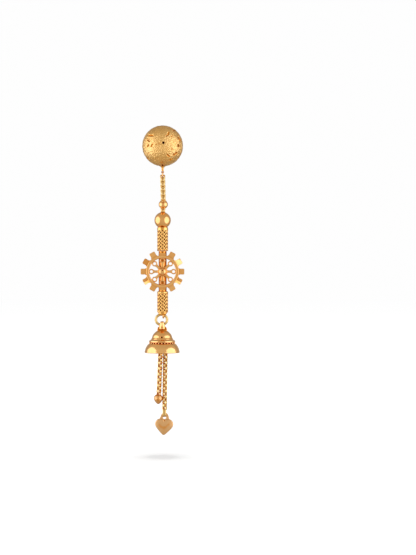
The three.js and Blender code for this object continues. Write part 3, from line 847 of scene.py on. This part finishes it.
BELCHER = {"half_width": 0.52, "half_length": 0.52, "thick": 0.185, "band": 0.39, "links": 6, "first": -55.12}
SHORT = {"stretches": 3, "top": (-0.49, -0.3), "foot_x": -1.06, "foot": -69.45, "extra": 1, "turns": (46, 40, 52, 38)}
LONG = {"stretches": 4, "top": (0.8, 0.3), "foot_x": 0.54, "foot": -73.43, "extra": 0, "turns": (-30, -34, -48, -32)}


def chain_links(chain):
    """Where each link of a chain lies, whether it is edge-on, and how far it is turned towards the viewer."""
    count = chain["stretches"] * BELCHER["links"] + chain["extra"]
    first = BELCHER["first"]
    pitch = (first - chain["foot"]) / (count - 1)
    turns, links = chain["turns"], []
    for i in range(count):
        share = i / (count - 1)
        place = Vector((*chain["top"], 0)).lerp(Vector((chain["foot_x"], 0, 0)), share)
        place.z = first - pitch * i
        along = share * (len(turns) - 1)
        knot = min(int(along), len(turns) - 2)
        turn = turns[knot] + (turns[knot + 1] - turns[knot]) * (along - knot)
        links.append((place, i % 2 == 0, radians(turn)))
    return links


def belcher_link(place, edge_on, turn):
    """A link bent from a flat band, so it looks wide where it is seen edge-on."""
    section = oval_section(BELCHER["thick"], BELCHER["band"], 12, 0.5, (0.7, 0.7))
    ring = oval_ring(BELCHER["half_width"], BELCHER["half_length"], section, 32, edge_on)
    # Painted shade on the inner side of the link, and a painted shadow on links up inside the bell.
    ring.shade(lambda p: 0.36 * smooth(0.5, 0.38, hypot(p.y if edge_on else p.x, p.z)))
    ring.shade(lambda p: 0.55 * smooth(-58.7, -57.9, p.z + place.z))
    return ring.placed(moved(*place) @ Matrix.Rotation(turn, 4, "Z"))


def chain_stretch(links):
    shell = Shell()
    for link in links:
        shell.add(belcher_link(*link))
    return shell


ACORN_OUTLINE = [
    (0.04, -72.3), (0.3, -72.2), (0.48, -72.05), (0.73, -71.8), (0.95, -71.5), (1.07, -71.25), (1.19, -70.95),
    (1.21, -70.65), (1.16, -70.3), (1.0, -69.98), (0.78, -69.75), (0.45, -69.62), (0.04, -69.58),
]


def acorn_bead(link):
    acorn = turned(smooth_profile(ACORN_OUTLINE))
    # A slightly deeper orange all over, painted shade at the top, and a painted reflection in deep orange on the
    # middle of the front.
    acorn.shade(lambda p: 0.12 + max(0.45 * smooth(-70.1, -69.7, p.z),
                                     0.3 * smooth(1.0, 0.3, hypot(p.x / 0.45, (p.z + 71.0) / 0.7))
                                     if p.y < 0 else 0))
    return acorn.placed(moved(node_middle("acorn_bead").x)).add(belcher_link(*link))


def heart_ring():
    low, high = node_box("heart_ring")
    thick = 0.135
    path = stadium_path((high.y - low.y) / 2 - thick, high.z - thick, low.z + 0.12 + thick)
    rings = []
    for point, head in zip(path, tangents(path, True)):
        out = Vector((1, 0, 0)).cross(head)
        down = (high.z - point.z) / (high.z - low.z)
        half = 0.3 + 0.2 * max(smooth(0.25, 0.6, abs(point.y)), smooth(0.4, 0.7, down))
        rings.append([point + out * a + Vector((b, 0, 0)) for a, b in oval_section(thick, half, 16)])
    return Shell().skin(rings, True).placed(moved((low.x + high.x) / 2))


HEART_RIGHT = [
    (0.0, -0.62), (0.4, -0.52), (0.95, -0.42), (1.5, -0.46), (2.0, -0.74), (2.36, -1.18), (2.53, -1.75),
    (2.5, -2.2), (2.28, -2.72), (1.9, -3.25), (1.4, -3.8), (0.9, -4.33), (0.42, -4.78), (0.0, -4.98),
]
ARCH_RIGHT = [
    (1.28, -1.0), (1.32, -0.45), (1.25, -0.1), (1.1, 0.42), (0.85, 0.88), (0.6, 1.13), (0.3, 1.27), (0.0, 1.3),
]
# How the heart swells from its edge to its middle: the outline's share, and the share of the half depth.
HEART_SWELL = [
    (1.0, 0.0), (0.995, 0.25), (0.97, 0.45), (0.93, 0.6), (0.89, 0.68), (0.855, 0.66), (0.82, 0.7), (0.7, 0.82),
    (0.5, 0.93), (0.3, 0.985), (0.12, 1.0), (0.01, 1.0),
]
HEART = {"middle": -2.35, "dot": -0.84, "hole": -0.1, "place": (0.55, 0, -76.0), "lean": 0.06}


def heart_pendant():
    low, high = node_box("heart_pendant")
    middle, half_depth = HEART["middle"], (high.y - low.y) / 2
    right = smooth_profile(HEART_RIGHT)
    outline = right + [(-x, z) for x, z in right[-2:0:-1]]
    rows = [(s, -d) for s, d in reversed(HEART_SWELL)] + HEART_SWELL[1:]
    shell = Shell().skin([[Vector((x * s, half_depth * d, middle + (z - middle) * s)) for x, z in outline]
                          for s, d in rows])
    arch = smooth_profile(ARCH_RIGHT, 4)
    outline = arch + [(-x, z) for x, z in arch[-2::-1]] + foot_row(1.28, -1.0)
    angles = [atan2(z - HEART["hole"], x) for x, z in outline]
    hole = [(0.44 * cos(a), HEART["hole"] + 0.4 * sin(a)) for a in angles]
    shell.add(plate(outline, hole, 0.34, 0.12))

    def away(p):
        return hypot(p.x, p.z - HEART["dot"])

    # Painted shade: the dot, a dimple painted dark, the walls of the loop's hole, and an arc across the face.
    shell.dimple(away, 0.26, 0.12).shade(lambda p: 0.85 * smooth(0.26, 0.1, away(p)), 0)
    shell.shade(lambda p: 0.3 * smooth(0.6, 0.48, hypot(p.x, p.z - HEART["hole"])) if abs(p.y) < 0.25 else 0)
    shell.shade(lambda p: 0.3 * smooth(0.5, 0.15, abs(p.z + 2.85 - 0.5 * (p.x + 0.15) ** 2))
                * smooth(1.7, 1.3, abs(p.x)), 0)
    return shell.placed(moved(*HEART["place"]) @ Matrix.Rotation(HEART["lean"], 4, "Y"))


# ---- Cog wheel ----

WHEEL = {"height": -35.2, "back": -0.45, "half": 0.65, "ring": 4.16, "tip": 6.08, "short_tip": 5.18, "spokes": 8}


def prism(outline, back, front, edge):
    """A plate with bevelled edges: an outline in X and Z, from y = back to y = front, nearer the viewer."""
    middle = Vector((sum(x for x, _ in outline), sum(z for _, z in outline))) / len(outline)

    def ring(inset, y):
        points = []
        for x, z in outline:
            away = Vector((x, z)) - middle
            points.append(Vector((x - away.x / away.length * inset, y, z - away.y / away.length * inset)))
        return points

    return Shell().skin([ring(edge, back), ring(0, back - edge), ring(0, front + edge), ring(edge, front)])


# Each cog, clockwise from the top one: how far each half of its face leans back, in degrees, and the painted
# shade laid over that cog.
COGS = [
    ((0, 0), 0.1), ((3, 3), 0.04), ((27, 27), 0.0), ((2, 2), 0.1), ((1, 28), 0.1), ((2, 2), 0.05),
    ((0, 0), 0.1), ((4, 4), 0.04), ((31, 2), 0.1), ((3, 3), 0.12), ((-6, -6), 0.3), ((4, 4), 0.03),
]


def cog(tip, leans, painted_shade):
    """One cog, standing up the Z axis: one block, or two halves where the halves of its face lean apart."""
    tip_half, corner, root, middle = 0.83, 0.3, 4.3, WHEEL["back"] - WHEEL["half"]
    corners = []
    for side in (1, -1):
        turn = [(side * (tip_half - corner + corner * cos(a)), tip - corner + corner * sin(a))
                for a in (pi / 2 * k / 5 for k in range(6))]
        corners.append([(side * 1.08, root), (side * 0.92, 4.68), (side * 0.8, 4.95)] + turn)
    shell = Shell()
    if leans[0] == leans[1]:
        blocks = [(corners[0] + corners[1][::-1], leans[0])]
    else:
        blocks = [((corners[1] + [(0, tip), (0, root)])[::-1], leans[0]),
                  (corners[0] + [(0, tip), (0, root)], leans[1])]
    for outline, lean in blocks:
        block = prism(outline, 0.6, -0.54, 0.05)
        for p in block.points:
            if p.y < 0:
                p.y += tan(radians(lean)) * max(0.0, p.z - 4.55)
        shell.add(block, moved(y=middle))
    # The cog's own painted shade, and more painted shade in a line along its root.
    return shell.shade(lambda p: painted_shade + 0.3 * smooth(4.95, 4.62, hypot(p.x, p.z)))


def teardrop_spoke():
    """A spoke up the Z axis: a flat stem that widens into a loop with a round hole. Its sides and back and the rim
    of its hole carry painted shade.
    """
    loop_at, outer, inner = 3.1, 0.76, 0.41

    def circle(radius, angles):
        return [(radius * cos(a), loop_at + radius * sin(a)) for a in angles]

    outline = circle(outer, (-pi / 2 + 0.62 + (2 * pi - 1.24) * k / 39 for k in range(40)))
    outline += [(-0.33, 1.9), (-0.4, 1.4), (-0.42, 0.8), (0.42, 0.8), (0.4, 1.4), (0.33, 1.9)]
    count = len(outline)
    hole = circle(inner, (-pi / 2 + 0.3 + 2 * pi * k / count for k in range(count)))
    return plate(outline, hole, 0.34, 0.09).shade(
        lambda p: 0.4 * smooth(-0.25, -0.1, p.y) + 0.3 * smooth(0.47, 0.4, hypot(p.x, p.z - loop_at)))


def cog_wheel():
    back = WHEEL["back"]
    ring = oval_ring(WHEEL["ring"], WHEEL["ring"], oval_section(0.45, 0.6, 24, 0.5, (0.3, 0.55)), 120)
    # Painted shade in lines along the ring's inner and outer edges.
    ring.shade(lambda p: max(0.4 * smooth(3.82, 3.73, hypot(p.x, p.z)), 0.35 * smooth(4.46, 4.58, hypot(p.x, p.z))))
    shell = ring.placed(moved(y=back - WHEEL["half"]))
    for i, (leans, painted_shade) in enumerate(COGS):
        tip = WHEEL["short_tip" if i % 6 == 0 else "tip"]
        shell.add(cog(tip, leans, painted_shade), Matrix.Rotation(2 * pi * i / len(COGS), 4, "Y"))
    for angle in round_angles(WHEEL["spokes"]):
        shell.add(teardrop_spoke(), Matrix.Rotation(angle, 4, "Y") @ moved(y=back - 0.72))
    shell.add(hub_dome(), moved(y=back) @ Matrix.Rotation(pi / 2, 4, "X"))
    return shell.placed(moved(z=WHEEL["height"]))


def hub_dome():
    """The hub, standing up the Z axis, with a pinhole a little above its middle once it faces the front. The
    pinhole and a ring round the foot of the dome carry painted shade.
    """
    hub = turned(smooth_profile([
        (0.05, 0.0), (1.3, 0.0), (1.35, 0.12), (1.35, 0.95), (1.28, 1.08), (1.14, 1.12), (1.08, 1.16),
        (0.98, 1.42), (0.75, 1.66), (0.4, 1.79), (0.05, 1.82),
    ]))
    hole_at, radius = 0.36, 0.2
    for p in hub.points:
        share = hypot(p.x, p.y - hole_at) / radius
        if p.z > 1.2 and share < 1:
            p.z -= 0.25 * (1 - share ** 2)
    hub.shade(lambda p: 0.85 * smooth(radius, 0.1, hypot(p.x, p.y - hole_at)) if p.z > 1.2 else 0)
    return hub.shade(lambda p: 0.2 * smooth(0.16, 0.04, abs(p.z - 1.12)))


def wheel_rod():
    low, high = node_box("cog_wheel")
    rod = turned([(1.0, low.z)] + [(1.12, low.z + 0.08 + (high.z - low.z - 0.16) * k / 60) for k in range(61)]
                 + [(1.0, high.z)])
    # Painted shade all over the rod, deeper on its sides, and three spots of painted shade on its front, above and
    # below the hub.
    rod.shade(lambda p: 0.4 + 0.38 * smooth(0.6, 1.0, abs(p.x)))
    for place, half in ((5.35, 0.34), (3.15, 0.55), (-2.95, 0.75)):
        height = WHEEL["height"] + place
        rod.shade(lambda p: 0.7 * smooth(1.1, 0.6, hypot(p.x / 0.42, (p.z - height) / half)), 0)
    return rod


# ---- The earring ----

piece("engraved_ball", stud_ball(), "stud", ["stud_ball"], ENGRAVED, 60)
piece("post", ear_post(), "stud", ["ear_post"], GOLD)
piece("ring_in_eye", top_ring(), "top_ring", ["top_ring"], GOLD)
piece("loop_in_loop_chain", upper_chain(), "drop", ["upper_chain"], CHAIN_GOLD)
piece("small_bead", spacer_bead(), "drop", ["spacer_bead"], GOLD)
piece("small_bead_links", spacer_links(), "drop", ["spacer_bead"], CHAIN_GOLD)
piece("large_bead", round_bead(), "drop", ["round_bead"], GOLD)
piece("upper_weave", upper_mesh_tube(), "drop", ["upper_mesh_tube"], WOVEN)
piece("spoked_wheel", cog_wheel(), "drop", ["cog_wheel"], GOLD)
piece("wheel_rod", wheel_rod(), "drop", ["cog_wheel"], GOLD)
piece("lower_weave", lower_mesh_tube(), "drop", ["lower_mesh_tube"], WOVEN)
piece("upper_weave_painted_shade_core", painted_shade_core("upper_mesh_tube"), "drop", ["upper_mesh_tube"], GOLD)
piece("lower_weave_painted_shade_core", painted_shade_core("lower_mesh_tube"), "drop", ["lower_mesh_tube"], GOLD)
piece("heavy_ring", jump_ring(), "jump_ring", ["jump_ring"], CHAIN_GOLD)
piece("band_link", bell_link(), "bell", ["bell_link"], GOLD)
piece("flared_bell", bell(), "bell", ["bell"], GOLD)

short_links, long_links = chain_links(SHORT), chain_links(LONG)
for name, chain, links in (("short_chain", SHORT, short_links), ("long_chain", LONG, long_links)):
    for stretch in range(chain["stretches"]):
        part = links[stretch * BELCHER["links"]:(stretch + 1) * BELCHER["links"]]
        piece(f"{name}_links_{stretch + 1}", chain_stretch(part), "bell", [f"{name}_{stretch + 1}"], CHAIN_GOLD)
piece("acorn", acorn_bead(short_links[-1]), "bell", ["acorn_bead"], SATIN)
piece("heart_band", heart_ring(), "bell", ["heart_ring"], CHAIN_GOLD)
piece("heart", heart_pendant(), "bell", ["heart_pendant"], SATIN)


# ---- Floor, light and camera ----

FRAME_HEIGHT = 155.4
CAMERA = Vector((12.7, -400.0, -36.85))
FLOOR = -87.1
FLOOR_RADIUS = 2500.0
TENT_RADIUS = 700.0
TENT_MIDDLE = Vector((0, 0, -36.85))
SIDE_LIGHT = {"radiance": 2.03, "colour": (0.547, 0.664, 1.0)}


def grey_ramp(nodes, stops):
    """An eased grey ramp through (position, level) pairs."""
    return ramp(nodes, [(position, (level,) * 3) for position, level in stops], "EASE")


def sheet(name, points, faces, material):
    thing = mesh_object(name, points, faces, material)
    return thing


def floor():
    """A pale round floor, painted darker near the earring as painted shade under it, and whiter away from it. The
    metal reflects the tent in its place.
    """
    material, nodes, shader = new_material("pale_floor")
    distance = nodes.new("ShaderNodeVectorMath")
    distance.operation = "DISTANCE"
    fill(distance, {0: nodes.new("ShaderNodeTexCoord").outputs["Object"],
                    1: tuple((Vector((0, 0, FLOOR)) + BALL_MIDDLE) * MM)})
    share = fill(nodes.new("ShaderNodeMapRange"), {
        "From Min": 40 * MM, "From Max": 400 * MM, "Value": distance.outputs["Value"]})
    shade = fill(grey_ramp(nodes, [(0.0, 0.74), (1.0, 1.0)]), {"Fac": share.outputs["Result"]})
    fill(shader, {"Base Color": shade.outputs["Color"], "Roughness": 0.9, "Specular IOR Level": 0.0})
    points = [Vector((FLOOR_RADIUS * cos(a), FLOOR_RADIUS * sin(a), FLOOR)) for a in round_angles(96)]
    thing = sheet("floor", points, [tuple(range(len(points)))], material)
    thing.visible_glossy = False


def tent():
    """What the metal reflects besides the soft lights: mid grey in front, darker above, below and at the rims."""
    material, nodes, _ = new_material("tent")
    nodes.clear()
    place = nodes.new("ShaderNodeVectorMath")
    place.operation = "SUBTRACT"
    fill(place, {0: nodes.new("ShaderNodeTexCoord").outputs["Object"], 1: tuple((TENT_MIDDLE + BALL_MIDDLE) * MM)})
    axes = fill(nodes.new("ShaderNodeSeparateXYZ"), {"Vector": place.outputs["Vector"]})
    greys = []
    for axis, stops in (("Y", [(0.0, 0.74), (0.5, 0.74), (0.66, 0.68), (0.8, 0.5), (0.92, 0.5), (1.0, 0.7)]),
                        ("Z", [(0.0, 0.82), (0.3, 0.93), (0.5, 1.0), (0.7, 0.96), (1.0, 0.82)])):
        share = fill(nodes.new("ShaderNodeMapRange"), {
            "From Min": -TENT_RADIUS * MM, "From Max": TENT_RADIUS * MM, "Value": axes.outputs[axis]})
        greys.append(fill(grey_ramp(nodes, stops), {"Fac": share.outputs["Result"]}).outputs["Color"])
    both = nodes.new("ShaderNodeMix")
    both.data_type = "RGBA"
    both.blend_type = "MULTIPLY"
    fill(both, {"Factor": 1.0, "A": greys[0], "B": greys[1]})
    glow = fill(nodes.new("ShaderNodeEmission"), {"Color": both.outputs["Result"]})
    fill(nodes.new("ShaderNodeOutputMaterial"), {"Surface": glow.outputs["Emission"]})
    material.cycles.emission_sampling = "NONE"

    ball = turned([(TENT_RADIUS * cos(a), TENT_RADIUS * sin(a))
                   for a in (-pi / 2 + 0.01 + (pi - 0.02) * k / 32 for k in range(33))])
    ball = ball.placed(Matrix.Translation(TENT_MIDDLE))
    thing = sheet("tent", ball.points, ball.faces, material)
    thing.visible_camera = False
    thing.visible_diffuse = False
    thing.visible_shadow = False
    thing.visible_transmission = False


def panel(name, place, width, height, radiance, target=None, colour=(1, 1, 1)):
    """A soft elliptical light, as bright in every direction as the radiance, that faces the earring."""
    light = bpy.data.lights.new(name, "AREA")
    light.shape = "ELLIPSE"
    light.size, light.size_y = width * MM, height * MM
    light.energy = radiance * pi * (pi / 4 * light.size * light.size_y)
    light.color = colour
    lamp = bpy.data.objects.new(name, light)
    lamp.matrix_world = (Matrix.Translation((Vector(place) + BALL_MIDDLE) * MM)
                         @ (Vector(target or (0, 0, place[2])) - Vector(place)).to_track_quat("-Z", "Y")
                         .to_matrix().to_4x4())
    bpy.context.scene.collection.objects.link(lamp)
    return lamp


def camera():
    lens = bpy.data.cameras.new("camera")
    lens.sensor_fit = "VERTICAL"
    lens.angle_y = 2 * atan(FRAME_HEIGHT / 2 / -CAMERA.y)
    viewer = bpy.data.objects.new("camera", lens)
    viewer.matrix_world = (Matrix.Translation((CAMERA + BALL_MIDDLE) * MM) @ Matrix.Rotation(pi / 2, 4, "X"))
    bpy.context.scene.collection.objects.link(viewer)
    bpy.context.scene.camera = viewer


def world():
    """A white surrounding, seen behind the earring."""
    surroundings = bpy.data.worlds.new("studio")
    surroundings.use_nodes = True
    background = surroundings.node_tree.nodes["Background"]
    background.inputs["Color"].default_value = (0.99, 0.99, 0.99, 1)
    bpy.context.scene.world = surroundings


floor()
tent()
world()
for name, place, width, height in (("left_box", (-407, -102, -12), 700, 656),
                                   ("right_box", (384, -171, -12), 656, 700)):
    side = panel(name, place, width, height, SIDE_LIGHT["radiance"], None, SIDE_LIGHT["colour"])
    side.visible_diffuse = False
top = panel("top_box", (0, 0, 420), 62, 62, 98.0, (0, 0, FLOOR))
top.visible_glossy = False
sky = panel("sky_box", (0, 0, 520), 1600, 1600, 0.2, (0, 0, FLOOR))
sky.visible_glossy = False
camera()
bpy.context.scene.view_settings.view_transform = "Standard"
